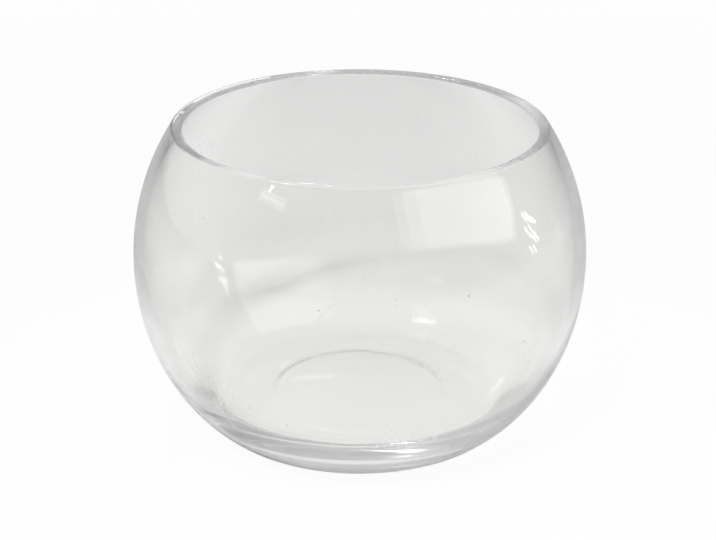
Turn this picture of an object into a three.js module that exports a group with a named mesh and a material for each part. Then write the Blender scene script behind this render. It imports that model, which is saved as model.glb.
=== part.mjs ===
import * as THREE from 'three';

// Round bubble bowl of clear glass: one wall turned about +Z, standing on a flat ring at z = 0. Millimetres.
const BELLY_DIAMETER = 140;     // widest outside
const BELLY_HEIGHT = 52.9;      // table to the widest level
const HEIGHT = 95.8;            // table to the top of the lip
const SHOULDER_RADIUS = 77;     // outside arc from the belly up to the lip
const LOWER_HALF_WIDTH = 46.8;  // outside ellipse from the belly down, half its width
const LOWER_OVERRUN = 7.2;      // how far that ellipse would pass below the table
const HEEL_RADIUS = 12;         // round from the lower wall onto the table
const WALL = 3.3;
const LIP_OUTER_ROUND = 1;      // edge from the outside onto the flat top of the lip
const LIP_INNER_ROUND = 0.8;    // edge from the flat top of the lip to the inside
const FLOOR_THICKNESS = 7.5;
const FLOOR_ROUND = 28;         // inside round from the wall to the floor
const RING_WIDTH = 12.3;        // flat standing ring
const RECESS_STEP = 0.6;        // short slope at the ring's inner edge
const RECESS_DOME = 0.6;        // further rise to the middle of the underside
const TURN_STEPS = 96;

const bellyRadius = BELLY_DIAMETER / 2;
const lowerCentre = bellyRadius - LOWER_HALF_WIDTH;
const lowerDepth = BELLY_HEIGHT + LOWER_OVERRUN;
const shoulderCentre = bellyRadius - SHOULDER_RADIUS;
const insideRadius = SHOULDER_RADIUS - WALL;
const insideHalfWidth = LOWER_HALF_WIDTH - WALL;
const insideDepth = lowerDepth - WALL;

// Points along an elliptical arc, first one left out because the run before it ends there.
function arc(r, z, a, b, from, to, steps) {
  return Array.from({ length: steps }, (_, i) => {
    const t = from + (to - from) * (i + 1) / steps;
    return new THREE.Vector2(r + a * Math.cos(t), z + b * Math.sin(t));
  });
}

// Circle that touches the lower ellipse from inside and the level below it from above.
function round(halfWidth, depth, level, radius) {
  let low = 0;
  let high = Math.PI / 2;
  const at = (t) => {
    const nr = Math.cos(t) / halfWidth;
    const nz = -Math.sin(t) / depth;
    const n = radius / Math.hypot(nr, nz);
    return {
      t, angle: Math.atan2(nz, nr), z: level + radius,
      r: lowerCentre + halfWidth * Math.cos(t) - nr * n,
      above: BELLY_HEIGHT - depth * Math.sin(t) - nz * n - level - radius,
    };
  };
  for (let i = 0; i < 50; i++) {
    const middle = (low + high) / 2;
    if (at(middle).above > 0) low = middle; else high = middle;
  }
  return at(low);
}

// Circle of a lip edge: it touches the top of the lip, and its middle lies at a reach from the shoulder's middle.
function lipEdge(reach, radius) {
  const angle = Math.asin((HEIGHT - radius - BELLY_HEIGHT) / reach);
  return { angle, r: shoulderCentre + reach * Math.cos(angle), z: HEIGHT - radius };
}

const lipOuter = lipEdge(SHOULDER_RADIUS - LIP_OUTER_ROUND, LIP_OUTER_ROUND);
const lipInner = lipEdge(insideRadius + LIP_INNER_ROUND, LIP_INNER_ROUND);
const heel = round(LOWER_HALF_WIDTH, lowerDepth, 0, HEEL_RADIUS);
const corner = round(insideHalfWidth, insideDepth, FLOOR_THICKNESS, FLOOR_ROUND);
const recessRadius = heel.r - RING_WIDTH;
const domeEdge = recessRadius - RECESS_STEP;
const domeRadius = (domeEdge ** 2 + RECESS_DOME ** 2) / (2 * RECESS_DOME);
const domeTop = RECESS_STEP + RECESS_DOME;
const domeAngle = Math.asin(domeEdge / domeRadius);
const up = Math.PI / 2;
const down = -up;

const section = [
  new THREE.Vector2(0, domeTop),
  ...arc(0, domeTop - domeRadius, domeRadius, domeRadius, up, up - domeAngle, 3),
  new THREE.Vector2(recessRadius, 0),
  new THREE.Vector2(heel.r, 0),
  ...arc(heel.r, heel.z, HEEL_RADIUS, HEEL_RADIUS, down, heel.angle, 6),
  ...arc(lowerCentre, BELLY_HEIGHT, LOWER_HALF_WIDTH, lowerDepth, -heel.t, 0, 10),
  ...arc(shoulderCentre, BELLY_HEIGHT, SHOULDER_RADIUS, SHOULDER_RADIUS, 0, lipOuter.angle, 8),
  ...arc(lipOuter.r, lipOuter.z, LIP_OUTER_ROUND, LIP_OUTER_ROUND, lipOuter.angle, up, 3),
  new THREE.Vector2(lipInner.r, HEIGHT),
  ...arc(lipInner.r, lipInner.z, LIP_INNER_ROUND, LIP_INNER_ROUND, up, lipInner.angle + Math.PI, 5),
  ...arc(shoulderCentre, BELLY_HEIGHT, insideRadius, insideRadius, lipInner.angle, 0, 8),
  ...arc(lowerCentre, BELLY_HEIGHT, insideHalfWidth, insideDepth, 0, -corner.t, 6),
  ...arc(corner.r, corner.z, FLOOR_ROUND, FLOOR_ROUND, corner.angle, down, 8),
  new THREE.Vector2(0, FLOOR_THICKNESS),
];

const glass = new THREE.MeshStandardMaterial({ color: 0xf2f5f4, roughness: 0.03, metalness: 0 });
const bowl = new THREE.Mesh(new THREE.LatheGeometry(section, TURN_STEPS).rotateX(Math.PI / 2), glass);
bowl.name = 'bowl';

const vessel = new THREE.Group();
vessel.name = 'glass_bowl_vase';
vessel.add(bowl);

export default vessel;
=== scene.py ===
import math
import bpy
from mathutils import Matrix, Quaternion, Vector


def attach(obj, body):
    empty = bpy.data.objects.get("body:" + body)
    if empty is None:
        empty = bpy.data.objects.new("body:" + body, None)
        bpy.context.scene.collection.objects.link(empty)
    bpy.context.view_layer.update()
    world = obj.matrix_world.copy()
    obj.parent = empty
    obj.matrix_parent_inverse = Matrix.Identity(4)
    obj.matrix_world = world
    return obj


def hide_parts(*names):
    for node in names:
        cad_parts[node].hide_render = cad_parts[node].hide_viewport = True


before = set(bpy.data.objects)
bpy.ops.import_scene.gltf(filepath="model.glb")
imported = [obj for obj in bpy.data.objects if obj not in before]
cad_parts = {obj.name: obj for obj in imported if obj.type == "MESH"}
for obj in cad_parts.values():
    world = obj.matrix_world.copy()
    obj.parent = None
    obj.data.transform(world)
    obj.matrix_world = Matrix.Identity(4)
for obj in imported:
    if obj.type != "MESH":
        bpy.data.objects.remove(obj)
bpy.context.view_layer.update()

MM = 0.001
UP, DOWN = math.pi / 2, -math.pi / 2

# The bowl's section, in millimetres
BELLY_RADIUS = 70.0
BELLY_HEIGHT = 52.9
HEIGHT = 95.8
SHOULDER_RADIUS = 77.0
LOWER_HALF_WIDTH = 46.8
LOWER_OVERRUN = 7.2
LOWER_DEPTH = BELLY_HEIGHT + LOWER_OVERRUN
HEEL_RADIUS = 12.0
WALL = 3.3
LIP_OUTER_ROUND = 1.0
LIP_INNER_ROUND = 0.8
FLOOR_THICKNESS = 7.5
FLOOR_ROUND = 28.0
RING_WIDTH = 12.3
RECESS_STEP = 0.4
RECESS_RAMP = 2.6
RECESS_DOME = 0.8

# Steps along each stretch of the section, steps round the bowl, and halvings to find where two arcs touch
DOME_STEPS, RAMP_STEPS, RING_STEPS = 16, 12, 6
HEEL_STEPS, LOWER_STEPS, SHOULDER_STEPS = 14, 40, 34
LIP_OUTER_STEPS, LIP_TOP_STEPS, LIP_INNER_STEPS = 10, 4, 14
LOWER_INSIDE_STEPS, FLOOR_ROUND_STEPS, FLOOR_STEPS = 26, 30, 10
TURN_STEPS = 256
HALVINGS = 60

# Points closer than this become one, in metres, and edges that turn less than this are smooth, in degrees
MERGE_GAP = 0.000002
SMOOTH_BELOW = 35.0

# Swells of the blown glass: name, width and full height in metres
SWELLS = (("slow_swell", 0.045, 0.0003), ("fine_ripple", 0.014, 0.00005))
# The share of a swell that is taken above a height in millimetres; the standing ring stays flat
SWELL_FADE = ((1.5, 0.25), (2.5, 0.6), (4.0, 1.0))
# The middle level of a noise
NOISE_MIDDLE = 0.5


def arc(r, z, half_width, depth, start, end, steps):
    """Points along an arc of a circle or an ellipse, without its first one."""
    return [(r + half_width * math.cos(start + (end - start) * i / steps),
             z + depth * math.sin(start + (end - start) * i / steps))
            for i in range(1, steps + 1)]


def straight(a, b, steps):
    """Points from a to b, without a."""
    return [(a[0] + (b[0] - a[0]) * i / steps, a[1] + (b[1] - a[1]) * i / steps)
            for i in range(1, steps + 1)]


def corner_round(half_width, depth, level, radius):
    """The circle that touches the lower wall from inside and rests on a level."""
    low, high = 0.0, UP
    for _ in range(HALVINGS):
        t = (low + high) / 2
        nr, nz = math.cos(t) / half_width, -math.sin(t) / depth
        size = math.hypot(nr, nz)
        nr, nz = nr / size, nz / size
        if BELLY_HEIGHT - depth * math.sin(t) - radius * nz > level + radius:
            low = t
        else:
            high = t
    centre_r = BELLY_RADIUS - LOWER_HALF_WIDTH + half_width * math.cos(t) - radius * nr
    return t, centre_r, level + radius, math.atan2(nz, nr)


def lip_corner(reach, radius):
    """The circle at the top of the lip whose middle lies at a reach from the middle of the shoulder's arc."""
    z = HEIGHT - radius
    turn = math.asin((z - BELLY_HEIGHT) / reach)
    return turn, BELLY_RADIUS - SHOULDER_RADIUS + reach * math.cos(turn), z


def bowl_section():
    """The closed section from the middle of the underside, up the outside, over the lip and down."""
    lower_r = BELLY_RADIUS - LOWER_HALF_WIDTH
    shoulder_r = BELLY_RADIUS - SHOULDER_RADIUS
    in_width, in_depth, in_shoulder = LOWER_HALF_WIDTH - WALL, LOWER_DEPTH - WALL, SHOULDER_RADIUS - WALL
    heel_t, heel_r, heel_z, heel_turn = corner_round(LOWER_HALF_WIDTH, LOWER_DEPTH, 0.0, HEEL_RADIUS)
    floor_t, floor_r, floor_z, floor_turn = corner_round(in_width, in_depth, FLOOR_THICKNESS, FLOOR_ROUND)
    edge_turn, edge_r, edge_z = lip_corner(SHOULDER_RADIUS - LIP_OUTER_ROUND, LIP_OUTER_ROUND)
    rim_turn, rim_r, rim_z = lip_corner(in_shoulder + LIP_INNER_ROUND, LIP_INNER_ROUND)
    ramp_r = heel_r - RING_WIDTH - RECESS_RAMP

    points = [(ramp_r * i / DOME_STEPS, RECESS_STEP + RECESS_DOME * (1 - (i / DOME_STEPS) ** 2))
              for i in range(DOME_STEPS + 1)]
    points += [(ramp_r + RECESS_RAMP * i / RAMP_STEPS,
                RECESS_STEP * (1 + math.cos(math.pi * i / RAMP_STEPS)) / 2)
               for i in range(1, RAMP_STEPS + 1)]
    points += straight(points[-1], (heel_r, 0.0), RING_STEPS)
    points += arc(heel_r, heel_z, HEEL_RADIUS, HEEL_RADIUS, DOWN, heel_turn, HEEL_STEPS)
    points += arc(lower_r, BELLY_HEIGHT, LOWER_HALF_WIDTH, LOWER_DEPTH, -heel_t, 0, LOWER_STEPS)
    points += arc(shoulder_r, BELLY_HEIGHT, SHOULDER_RADIUS, SHOULDER_RADIUS, 0, edge_turn, SHOULDER_STEPS)
    points += arc(edge_r, edge_z, LIP_OUTER_ROUND, LIP_OUTER_ROUND, edge_turn, UP, LIP_OUTER_STEPS)
    points += straight((edge_r, HEIGHT), (rim_r, HEIGHT), LIP_TOP_STEPS)
    points += arc(rim_r, rim_z, LIP_INNER_ROUND, LIP_INNER_ROUND, UP, rim_turn + math.pi, LIP_INNER_STEPS)
    points += arc(shoulder_r, BELLY_HEIGHT, in_shoulder, in_shoulder, rim_turn, 0, SHOULDER_STEPS)
    points += arc(lower_r, BELLY_HEIGHT, in_width, in_depth, 0, -floor_t, LOWER_INSIDE_STEPS)
    points += arc(floor_r, floor_z, FLOOR_ROUND, FLOOR_ROUND, floor_turn, DOWN, FLOOR_ROUND_STEPS)
    points += straight((floor_r, FLOOR_THICKNESS), (0.0, FLOOR_THICKNESS), FLOOR_STEPS)
    return points


def turn_bowl():
    """Draws the section point by point from one corner and spins it round the bowl's axis."""
    section = [Vector((r * MM, 0.0, z * MM)) for r, z in bowl_section()]
    bpy.ops.object.select_all(action="DESELECT")
    bpy.ops.mesh.primitive_plane_add(size=MM)
    bowl = bpy.context.object
    bowl.name = bowl.data.name = "glass_bowl"
    bpy.ops.object.mode_set(mode="EDIT")
    bpy.ops.mesh.select_all(action="SELECT")
    bpy.ops.mesh.merge(type="CENTER")
    bpy.ops.transform.translate(value=section[0])
    for here, there in zip(section, section[1:]):
        bpy.ops.mesh.extrude_vertices_move(TRANSFORM_OT_translate={"value": there - here})
    bpy.ops.mesh.select_all(action="SELECT")
    bpy.ops.mesh.spin(steps=TURN_STEPS, angle=2 * math.pi, center=(0, 0, 0), axis=(0, 0, 1))
    bpy.ops.mesh.select_all(action="SELECT")
    bpy.ops.mesh.remove_doubles(threshold=MERGE_GAP)
    bpy.ops.mesh.normals_make_consistent(inside=False)
    bpy.ops.object.mode_set(mode="OBJECT")
    make_uneven(bowl)
    bpy.ops.object.shade_smooth_by_angle(angle=math.radians(SMOOTH_BELOW))
    return bowl


def make_uneven(bowl):
    """Hand-made glass is never quite even: soft swells that fade out towards the standing ring."""
    bowl.vertex_groups.new(name="above_ring")
    for height, share in SWELL_FADE:
        above = [point.index for point in bowl.data.vertices if point.co.z > height * MM]
        bowl.vertex_groups["above_ring"].add(above, share, "REPLACE")
    for name, width, height in SWELLS:
        swell = bpy.data.textures.new(name, "CLOUDS")
        swell.noise_scale = width
        swell.noise_depth = 1
        push = bowl.modifiers.new(name, "DISPLACE")
        push.texture = swell
        push.texture_coords = "LOCAL"
        push.strength = height
        push.mid_level = NOISE_MIDDLE
        push.vertex_group = "above_ring"
        bpy.ops.object.modifier_apply(modifier=name)
    bowl.vertex_groups.clear()


# Nodes that the materials share
def new_material(name):
    """A node material, with its tree and its Principled shader."""
    mat = bpy.data.materials.new(name)
    mat.use_nodes = True
    return mat, mat.node_tree, mat.node_tree.nodes["Principled BSDF"]


def mixed_surface(tree, share, first, second):
    """Makes the surface out of two shaders; the share is the second one's."""
    both = tree.nodes.new("ShaderNodeMixShader")
    for socket, value in zip(both.inputs, (share, first, second)):
        tree.links.new(value, socket)
    tree.links.new(both.outputs[0], tree.nodes["Material Output"].inputs["Surface"])


def axes(tree, place):
    """The X, Y and Z of a place or a direction."""
    split = tree.nodes.new("ShaderNodeSeparateXYZ")
    tree.links.new(place, split.inputs[0])
    return split.outputs


def away_from(tree, place, point=(0, 0, 0)):
    """How far a place is from a point, in metres."""
    gap = tree.nodes.new("ShaderNodeVectorMath")
    gap.operation = "DISTANCE"
    gap.inputs[1].default_value = point
    tree.links.new(place, gap.inputs[0])
    return gap.outputs["Value"]


def worked(tree, operation, first, second=0.0):
    """One Math node; a number is set on its socket and an output is linked to it."""
    node = tree.nodes.new("ShaderNodeMath")
    node.operation = operation
    for socket, value in zip(node.inputs, (first, second)):
        if isinstance(value, float):
            socket.default_value = value
        else:
            tree.links.new(value, socket)
    return node.outputs[0]


def ranged(tree, value, start, end, low, high):
    """Maps a value between two marks smoothly to a range, held flat outside them."""
    grade = tree.nodes.new("ShaderNodeMapRange")
    grade.interpolation_type = "SMOOTHSTEP"
    for name, number in (("From Min", start), ("From Max", end), ("To Min", low), ("To Max", high)):
        grade.inputs[name].default_value = number
    tree.links.new(value, grade.inputs["Value"])
    return grade.outputs["Result"]


def graded(tree, value, marks):
    """A level that eases from mark to mark; each mark is a value and its level, and the first value is 0."""
    end = marks[-1][0]
    ramp = tree.nodes.new("ShaderNodeValToRGB")
    ramp.color_ramp.interpolation = "EASE"
    stops = ramp.color_ramp.elements
    for mark, _ in marks[1:-1]:
        stops.new(mark / end)
    for stop, (_, level) in zip(stops, marks):
        stop.color = (level, level, level, 1)
    tree.links.new(worked(tree, "DIVIDE", value, end), ramp.inputs["Fac"])
    return ramp.outputs["Color"]


def blended(tree, share, value, number):
    """Goes from a value to a number as the share rises."""
    mix = tree.nodes.new("ShaderNodeMix")
    tree.links.new(share, mix.inputs["Factor"])
    tree.links.new(value, mix.inputs["A"])
    mix.inputs["B"].default_value = number
    return mix.outputs["Result"]


def mottled(tree, place, scale, detail, stretch=(1, 1, 1)):
    """A noise pattern on the piece, stretched by a Mapping node."""
    lay = tree.nodes.new("ShaderNodeMapping")
    lay.inputs["Scale"].default_value = stretch
    tree.links.new(place, lay.inputs["Vector"])
    noise = tree.nodes.new("ShaderNodeTexNoise")
    noise.inputs["Scale"].default_value = scale
    noise.inputs["Detail"].default_value = detail
    tree.links.new(lay.outputs["Vector"], noise.inputs["Vector"])
    return noise.outputs["Fac"]


# Glass: how it bends and dims light, and its colours; it is a trace warm, and a seed in it is grey
GLASS_IOR, GLASS_DENSITY = 1.5, 0.8
CLEAR_TINT, SEED_TINT, BLACK = (1.0, 0.997, 0.99, 1), (0.25, 0.25, 0.25, 1), (0.0, 0.0, 0.0, 1)
# Roughness of the clean wall, of what smudges, wiping and scratches add to it, and of the inner floor
CLEAN_ROUGH, SMUDGE_ROUGH, WIPE_ROUGH, SCRATCH_ROUGH, FLOOR_ROUGH = 0.04, 0.06, 0.04, 0.3, 0.05
# Scale, detail and stretch of the noise for smudges, wiping and scratched patches, and where it sets in
SMUDGES, WIPES, PATCHES = (22.0, 4.0), (9.0, 3.0, (1, 1, 14)), (40.0, 3.0)
FILM_MARKS, PATCH_MARKS = (0.45, 0.75), (0.52, 0.62)
# Two sets of scratches: turn in degrees, then gap, length and half width in metres
SCRATCHES = ((35.0, 0.004, 0.080, 0.00003), (-28.0, 0.005, 0.080, 0.00003))
# The film lies on the wall between these heights, in metres; lip and base stay bright
FILM_LOW, FILM_HIGH = (0.012, 0.022), (0.085, 0.089)
# The inner floor is hazy above this height and within this distance of the origin, in metres
FLOOR_LOW, FLOOR_REACH = (0.003, 0.005), (0.040, 0.046)
# Tiny seeds in the wall, in millimetres, and a seed's grey core and its rim, in metres
SEEDS = (
    (56.3, -32.6, 79.9),
    (29.8, -62.0, 66.6),
    (-11.1, -68.2, 64.9),
    (-20.6, -61.7, 25.9),
    (-31.1, -58.7, 29.8),
)
SEED_CORE, SEED_RIM = 0.000168, 0.000336
# Light for the shadow passes glass that faces it and is held back by glass seen edge on
SHADOW_LIGHT, SHADOW_EDGE, SHADOW_MARKS = 1.0, 0.15, (0.45, 0.95)


def unrolled(tree, place):
    """The wall laid flat: the way round it at the belly, and the height less the radius."""
    x, y, z = axes(tree, place)
    squares = worked(tree, "ADD", worked(tree, "MULTIPLY", x, x), worked(tree, "MULTIPLY", y, y))
    flat = tree.nodes.new("ShaderNodeCombineXYZ")
    way_round = worked(tree, "MULTIPLY", worked(tree, "ARCTAN2", x, y), BELLY_RADIUS * MM)
    tree.links.new(way_round, flat.inputs["X"])
    tree.links.new(worked(tree, "SUBTRACT", z, worked(tree, "SQRT", squares)), flat.inputs["Y"])
    return flat.outputs["Vector"]


def hairlines(tree, flat, turn, gap, length, half_width):
    """Thin, nearly straight lines, where a noise stretched along them crosses its middle level."""
    line = tree.nodes.new("ShaderNodeMapping")
    line.inputs["Rotation"].default_value = (0, 0, math.radians(turn))
    tree.links.new(flat, line.inputs["Vector"])
    noise = mottled(tree, line.outputs["Vector"], 1.0, 0.0, (1 / gap, 1 / length, 1))
    off = worked(tree, "ABSOLUTE", worked(tree, "SUBTRACT", noise, NOISE_MIDDLE))
    return ranged(tree, off, 0.0, half_width / gap, 1.0, 0.0)


def wall_film(tree, place):
    """Roughness of the wall: a thin smudged film, streaks from wiping and patches of hairline scratches."""
    smudged = ranged(tree, mottled(tree, place, *SMUDGES), *FILM_MARKS, 0.0, SMUDGE_ROUGH)
    wiped = ranged(tree, mottled(tree, place, *WIPES), *FILM_MARKS, 0.0, WIPE_ROUGH)
    film = worked(tree, "ADD", worked(tree, "ADD", smudged, wiped), CLEAN_ROUGH)
    flat = unrolled(tree, place)
    first, second = [hairlines(tree, flat, *scratch) for scratch in SCRATCHES]
    patches = ranged(tree, mottled(tree, place, *PATCHES), *PATCH_MARKS, 0.0, SCRATCH_ROUGH)
    scratched = worked(tree, "MULTIPLY", worked(tree, "MAXIMUM", first, second), patches)
    return worked(tree, "ADD", film, scratched)


def glass_roughness(tree, place):
    """The film on the wall and a light haze on the inner floor."""
    z = axes(tree, place)["Z"]
    wall = worked(tree, "MULTIPLY", ranged(tree, z, *FILM_LOW, 0.0, 1.0),
                  ranged(tree, z, *FILM_HIGH, 1.0, 0.0))
    haze = worked(tree, "MULTIPLY", ranged(tree, z, *FLOOR_LOW, 0.0, FLOOR_ROUGH),
                  ranged(tree, away_from(tree, place), *FLOOR_REACH, 1.0, 0.0))
    return worked(tree, "ADD", worked(tree, "MULTIPLY", wall_film(tree, place), wall), haze)


def seeded_tint(tree, place):
    """The colour of the glass, with the seeds in it."""
    clear = 1.0
    for seed in SEEDS:
        away = away_from(tree, place, [number * MM for number in seed])
        clear = worked(tree, "MINIMUM", clear, ranged(tree, away, SEED_CORE, SEED_RIM, 0.0, 1.0))
    tint = tree.nodes.new("ShaderNodeMixRGB")
    tint.inputs["Color1"].default_value = SEED_TINT
    tint.inputs["Color2"].default_value = CLEAR_TINT
    tree.links.new(clear, tint.inputs["Fac"])
    return tint.outputs["Color"]


def clear_glass():
    """Clear soda glass: wiped clean but not spotless, hairline scratches, a few seeds."""
    mat, tree, glass = new_material("clear_glass")
    new, link = tree.nodes.new, tree.links.new
    glass.inputs["IOR"].default_value = GLASS_IOR
    glass.inputs["Transmission Weight"].default_value = 1.0
    place = new("ShaderNodeTexCoord").outputs["Object"]
    link(glass_roughness(tree, place), glass.inputs["Roughness"])
    link(seeded_tint(tree, place), glass.inputs["Base Color"])

    facing = new("ShaderNodeLayerWeight").outputs["Facing"]
    lit = new("ShaderNodeBsdfTransparent")
    link(ranged(tree, facing, *SHADOW_MARKS, SHADOW_LIGHT, SHADOW_EDGE), lit.inputs["Color"])
    shadow = new("ShaderNodeLightPath").outputs["Is Shadow Ray"]
    mixed_surface(tree, shadow, glass.outputs["BSDF"], lit.outputs["BSDF"])

    body = new("ShaderNodeVolumeAbsorption")
    body.inputs["Color"].default_value = BLACK
    body.inputs["Density"].default_value = GLASS_DENSITY
    link(body.outputs["Volume"], tree.nodes["Material Output"].inputs["Volume"])
    return mat


# Table, in metres: its size and level, and paint that greys with distance and changes from left to right
TABLE_SIZE, TABLE_LEVEL, TABLE_ROUGH = 12.0, -0.0002, 0.9
TABLE_PALE, TABLE_GREY, GREY_MARKS = 0.88, 0.6, (0.085, 0.17)
TABLE_LEFT, TABLE_RIGHT, ACROSS_MARKS = 0.92, 0.98, (-0.25, 0.25)
# White that the camera sees: not all of it near the bowl, so that the shadow shows
WHITE_NEAR, WHITE_MARKS = 0.95, (0.25, 0.9)
# Painted light seen only through the glass: a white glow on the table, by distance and share, that lightens
# the bowl's shadow near it, and what is added towards the sides
PAINTED_LIGHT_THROUGH = ((0.0, 0.7), (0.045, 0.7), (0.07, 0.56), (0.1, 0.03), (0.14, 0.39), (0.24, 0.38))
SIDE_PAINTED_LIGHT, SIDE_PAINTED_LIGHT_MARKS = 0.22, (0.035, 0.09)
# Painted light under the foot, and on a strip in front of it: the table glows white also in what the base
# mirrors, and the strip paints a white line into the base
PAINTED_LIGHT_UNDER_MARKS = (0.045, 0.06)
FRONT_PAINTED_LIGHT, FRONT_PAINTED_LIGHT_MARKS, FRONT_PAINTED_LIGHT_REACH = 1.0, (-0.05, -0.036), (0.10, 0.14)
# Room: its level from front to back, what is left of it to the right, and its level through the glass
ROOM_FRONT, ROOM_BACK, DEPTH_MARKS = 0.64, 0.56, (-0.45, 0.2)
ROOM_RIGHT, RIGHT_MARKS = 0.45, (0.1, 0.8)
ROOM_THROUGH = 0.85
# A ray with fewer mirrorings than this has none
NO_MIRRORING = 0.5


def ways_seen(tree, mirrored=0.0):
    """1 for a ray from the camera, and 1 for one through the glass, unmirrored or where that is allowed."""
    rays = tree.nodes.new("ShaderNodeLightPath").outputs
    plain = worked(tree, "LESS_THAN", rays["Glossy Depth"], NO_MIRRORING)
    allowed = worked(tree, "MAXIMUM", plain, mirrored)
    return rays["Is Camera Ray"], worked(tree, "MULTIPLY", rays["Is Transmission Ray"], allowed)


def white_and_painted_light(tree, x, y, away):
    """How much of the table is plain white seen directly, and how much glows white as painted light seen
    through the glass.
    """
    # Painted light: the glow under the foot and on the strip in front of it shows even in what the glass
    # mirrors
    under = ranged(tree, away, *PAINTED_LIGHT_UNDER_MARKS, 1.0, 0.0)
    front = worked(tree, "MULTIPLY", ranged(tree, y, *FRONT_PAINTED_LIGHT_MARKS, 1.0, 0.0),
                   ranged(tree, away, *FRONT_PAINTED_LIGHT_REACH, 1.0, 0.0))
    sides = ranged(tree, worked(tree, "ABSOLUTE", x), *SIDE_PAINTED_LIGHT_MARKS, 0.0, SIDE_PAINTED_LIGHT)
    level = worked(tree, "ADD", graded(tree, away, PAINTED_LIGHT_THROUGH), sides)
    camera, through = ways_seen(tree, worked(tree, "MAXIMUM", under, front))
    seen = worked(tree, "MULTIPLY", camera, ranged(tree, away, *WHITE_MARKS, WHITE_NEAR, 1.0))
    painted_light_seen_through = worked(tree, "MULTIPLY", through, blended(tree, front, level, FRONT_PAINTED_LIGHT))
    return worked(tree, "ADD", seen, painted_light_seen_through)


def pale_table():
    """A pale table top; seen directly it is nearly white, and through the glass it glows with painted light.
    """
    mat, tree, top = new_material("pale_table")
    top.inputs["Roughness"].default_value = TABLE_ROUGH
    top.inputs["Specular IOR Level"].default_value = 0.0
    place = tree.nodes.new("ShaderNodeTexCoord").outputs["Object"]
    x, y, _ = axes(tree, place)
    away = away_from(tree, place)
    paint = worked(tree, "MULTIPLY", ranged(tree, away, *GREY_MARKS, TABLE_PALE, TABLE_GREY),
                   ranged(tree, x, *ACROSS_MARKS, TABLE_LEFT, TABLE_RIGHT))
    tree.links.new(paint, top.inputs["Base Color"])
    # The emission is the white background for the camera and painted light for rays through the glass
    white = tree.nodes.new("ShaderNodeEmission")
    mixed_surface(tree, white_and_painted_light(tree, x, y, away), top.outputs["BSDF"], white.outputs["Emission"])
    return mat


def lay_table():
    """The table top, just under the standing ring."""
    bpy.ops.object.select_all(action="DESELECT")
    bpy.ops.mesh.primitive_plane_add(size=TABLE_SIZE, location=(0, 0, TABLE_LEVEL))
    table = bpy.context.object
    table.name = table.data.name = "table_top"
    table.data.materials.append(pale_table())


def light_room():
    """A pale room round the table, which the camera sees as white."""
    room = bpy.data.worlds.new("pale_room")
    bpy.context.scene.world = room
    room.use_nodes = True
    tree = room.node_tree
    x, y, _ = axes(tree, tree.nodes.new("ShaderNodeTexCoord").outputs["Generated"])
    walls = worked(tree, "MULTIPLY", ranged(tree, y, *DEPTH_MARKS, ROOM_FRONT, ROOM_BACK),
                   ranged(tree, x, *RIGHT_MARKS, 1.0, ROOM_RIGHT))
    camera, through = ways_seen(tree)
    seen = blended(tree, camera, blended(tree, through, walls, ROOM_THROUGH), 1.0)
    tree.links.new(seen, tree.nodes["Background"].inputs["Color"])


# Lamps: name, turn from the front, distance, sideways, rise, width, tall, lean, slant and radiance, in
# degrees and metres; the window is three panes over each other, so that its edges are soft
LAMPS = (
    ("window_wide", 50.8, 0.569, 0.057, 0.341, 0.764, 0.308, 27.6, -12.4, 0.54),
    ("window_middle", 50.8, 0.572, 0.089, 0.335, 0.698, 0.288, 27.6, -12.4, 0.54),
    ("window_narrow", 50.8, 0.576, 0.128, 0.327, 0.618, 0.268, 27.6, -12.4, 0.54),
    ("ceiling_lamp", -24.0, 0.7, 0.0, 0.95, 0.14, 0.14, 54.0, 0.0, 65.0),
    ("top_lamp", -152.0, 0.55, 0.0, 1.0, 0.10, 0.10, 60.0, 0.0, 40.0),
    ("front_lamp_a", -16.0, 1.0, 0.0, 1.19, 0.07, 0.07, 49.0, 0.0, 200.0),
    ("front_lamp_b", -30.0, 1.0, 0.0, 1.17, 0.07, 0.07, 49.0, 0.0, 200.0),
    ("left_lamp", -57.0, 1.0, 0.0, 0.82, 0.03, 0.03, 40.0, 0.0, 100.0),
    ("left_panel", -53.0, 1.0, 0.0, 0.72, 0.30, 0.07, 34.0, 0.0, 1.5),
    ("side_strip_a", 92.0, 0.8, 0.0, 0.04, 0.010, 0.05, 0.0, 30.0, 8.0),
    ("side_strip_b", 95.0, 0.8, 0.0, 0.08, 0.014, 0.06, 0.0, 35.0, 8.0),
    ("side_strip_c", 92.5, 0.8, 0.0, 0.12, 0.010, 0.07, 0.0, 25.0, 8.0),
    ("side_strip_d", 96.0, 0.8, 0.0, 0.15, 0.012, 0.05, 0.0, 40.0, 8.0),
    ("side_strip_e", 93.0, 0.8, 0.0, 0.19, 0.014, 0.06, 0.0, 30.0, 8.0),
    ("lip_strip", -171.0, 0.953, 0.0, 0.372, 0.14, 0.04, 22.0, 0.0, 1.8),
)
# Lamps that only light the table and aren't mirrored in the glass
UNMIRRORED = ("ceiling_lamp", "front_lamp_a", "front_lamp_b")


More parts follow.
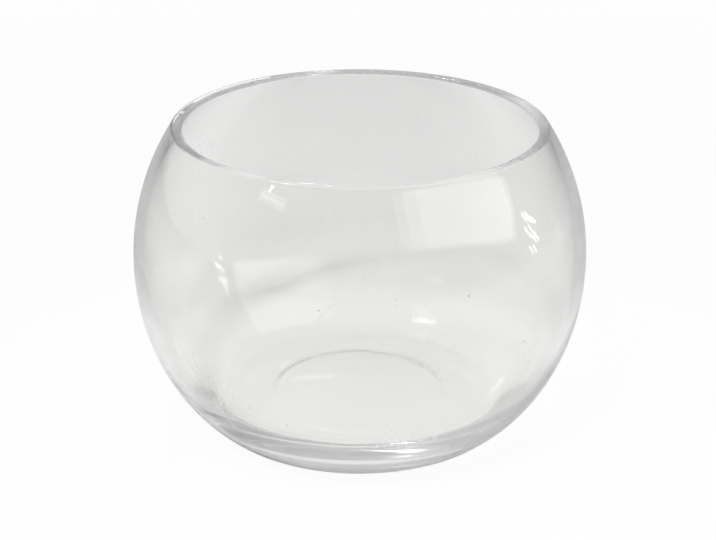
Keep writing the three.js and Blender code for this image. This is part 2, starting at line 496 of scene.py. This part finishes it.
def hang_lamp(name, turn, distance, sideways, rise, width, tall, lean, slant, radiance):
    """A flat lamp beside the bowl, turned to it, leaning over it and slanted in its own plane."""
    turn, lean, slant = math.radians(turn), math.radians(lean), math.radians(slant)
    away = Vector((math.sin(turn), -math.cos(turn), 0))
    along = Vector((math.cos(turn), math.sin(turn), 0))
    upright = Vector((0, 0, 1)) * math.cos(lean) - away * math.sin(lean)
    across = along * math.cos(slant) + upright * math.sin(slant)
    rising = upright * math.cos(slant) - along * math.sin(slant)
    lamp = bpy.data.lights.new(name, "AREA")
    lamp.shape = "RECTANGLE"
    lamp.size = width
    lamp.size_y = tall
    lamp.energy = radiance * math.pi * width * tall
    holder = bpy.data.objects.new(name, lamp)
    bpy.context.scene.collection.objects.link(holder)
    holder.location = away * distance + along * sideways + Vector((0, 0, rise))
    holder.rotation_mode = "QUATERNION"
    holder.rotation_quaternion = Matrix((across, rising, across.cross(rising))).transposed().to_quaternion()
    holder.visible_glossy = holder.visible_transmission = name not in UNMIRRORED


# Camera: its lens for an image of this width in pixels, and its place in metres and degrees
IMAGE_WIDTH, LENS_PIXELS, SENSOR_WIDTH = 716, 1593.3, 36.0
CAMERA_AIM, CAMERA_DISTANCE = (-0.00052, 0, 0.0472), 0.5
CAMERA_RISE, CAMERA_ROLL = 23.55, 0.22
CLIP_NEAR, CLIP_FAR = 0.01, 50.0
# How often light may be mirrored and bent in the glass
BOUNCES = 64


def stand_camera():
    """The camera at the photograph's viewing angle."""
    rise = math.radians(CAMERA_RISE)
    back = Vector((0, -math.cos(rise), math.sin(rise)))
    lens = bpy.data.cameras.new("photo_camera")
    lens.sensor_width = SENSOR_WIDTH
    lens.lens = LENS_PIXELS * SENSOR_WIDTH / IMAGE_WIDTH
    lens.clip_start = CLIP_NEAR
    lens.clip_end = CLIP_FAR
    eye = bpy.data.objects.new("photo_camera", lens)
    bpy.context.scene.collection.objects.link(eye)
    eye.location = Vector(CAMERA_AIM) + back * CAMERA_DISTANCE
    eye.rotation_mode = "QUATERNION"
    roll = Quaternion((0, 0, 1), math.radians(CAMERA_ROLL))
    eye.rotation_quaternion = (-back).to_track_quat("-Z", "Y") @ roll
    bpy.context.scene.camera = eye


def let_light_through():
    """Long light paths for the glass; its shadow comes from its material and not from caustics."""
    paths = bpy.context.scene.cycles
    paths.caustics_reflective = False
    paths.caustics_refractive = False
    paths.blur_glossy = 0.0
    paths.max_bounces = BOUNCES
    paths.transmission_bounces = BOUNCES
    paths.glossy_bounces = BOUNCES


stand_camera()
lay_table()
light_room()
for lamp in LAMPS:
    hang_lamp(*lamp)
let_light_through()
bpy.context.scene.view_settings.view_transform = "Standard"

bowl = turn_bowl()
bowl.data.materials.append(clear_glass())
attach(bowl, "root")
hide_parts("bowl")
